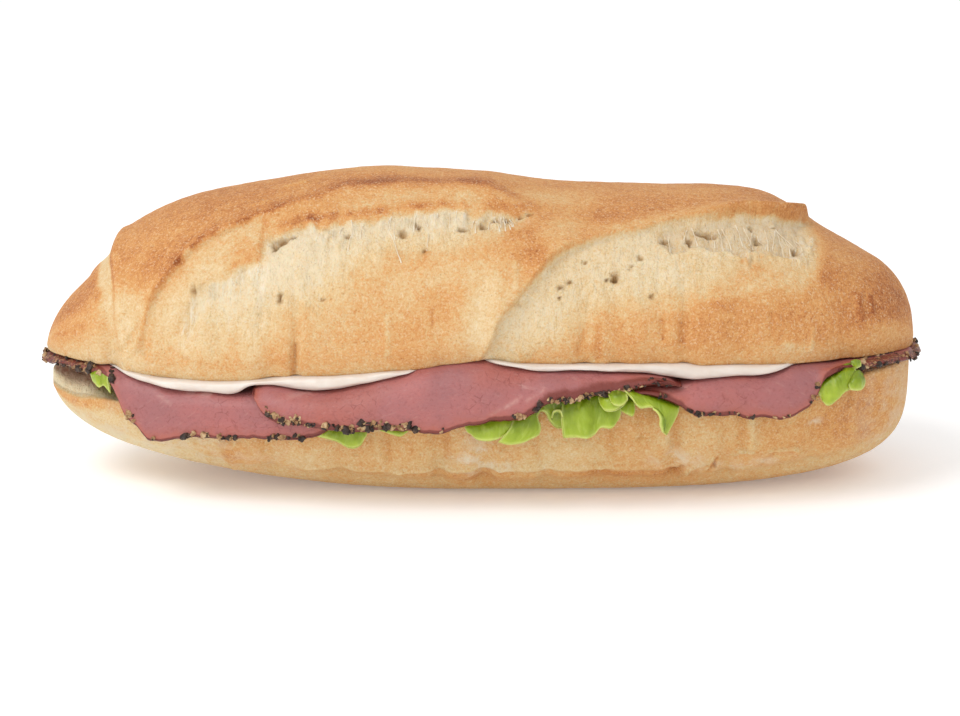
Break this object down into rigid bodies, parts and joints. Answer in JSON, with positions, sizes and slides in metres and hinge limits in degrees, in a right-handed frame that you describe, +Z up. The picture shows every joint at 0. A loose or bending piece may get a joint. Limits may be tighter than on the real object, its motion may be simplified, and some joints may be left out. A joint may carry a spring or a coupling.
{
  "type": "baguette sandwich",
  "caption": "Baguette sandwich: a slashed crusty roll split along its length, filled with draped peppered pastrami, leaf lettuce and white cream spread.",
  "frame": {"origin": "centre of the bounding box, on the flat underside of the base", "axes": "+X along the loaf, +Z up, -Y the open front that shows the filling"},
  "size_m": [0.2052, 0.0808, 0.07],
  "materials": {
    "bread_base": "matt baked crust, paler where the dough touched the tray; cut face is open white crumb",
    "bread_top": "matt baked crust, golden to brown, with pale torn crumb in the slashes",
    "cream_spread": "soft satin white cream",
    "lettuce": "satin leaf with paler edges",
    "pastrami": "moist pink meat with a dark peppered rim"
  },
  "bodies": {
    "root": {"bread_base": "bread_base", "bread_top": "bread_top", "cream_spread": "cream_spread", "lettuce_left": "lettuce", "lettuce_middle": "lettuce", "lettuce_right": "lettuce", "pastrami_left": "pastrami", "pastrami_middle": "pastrami", "pastrami_right": "pastrami"}
  },
  "joints": []
}
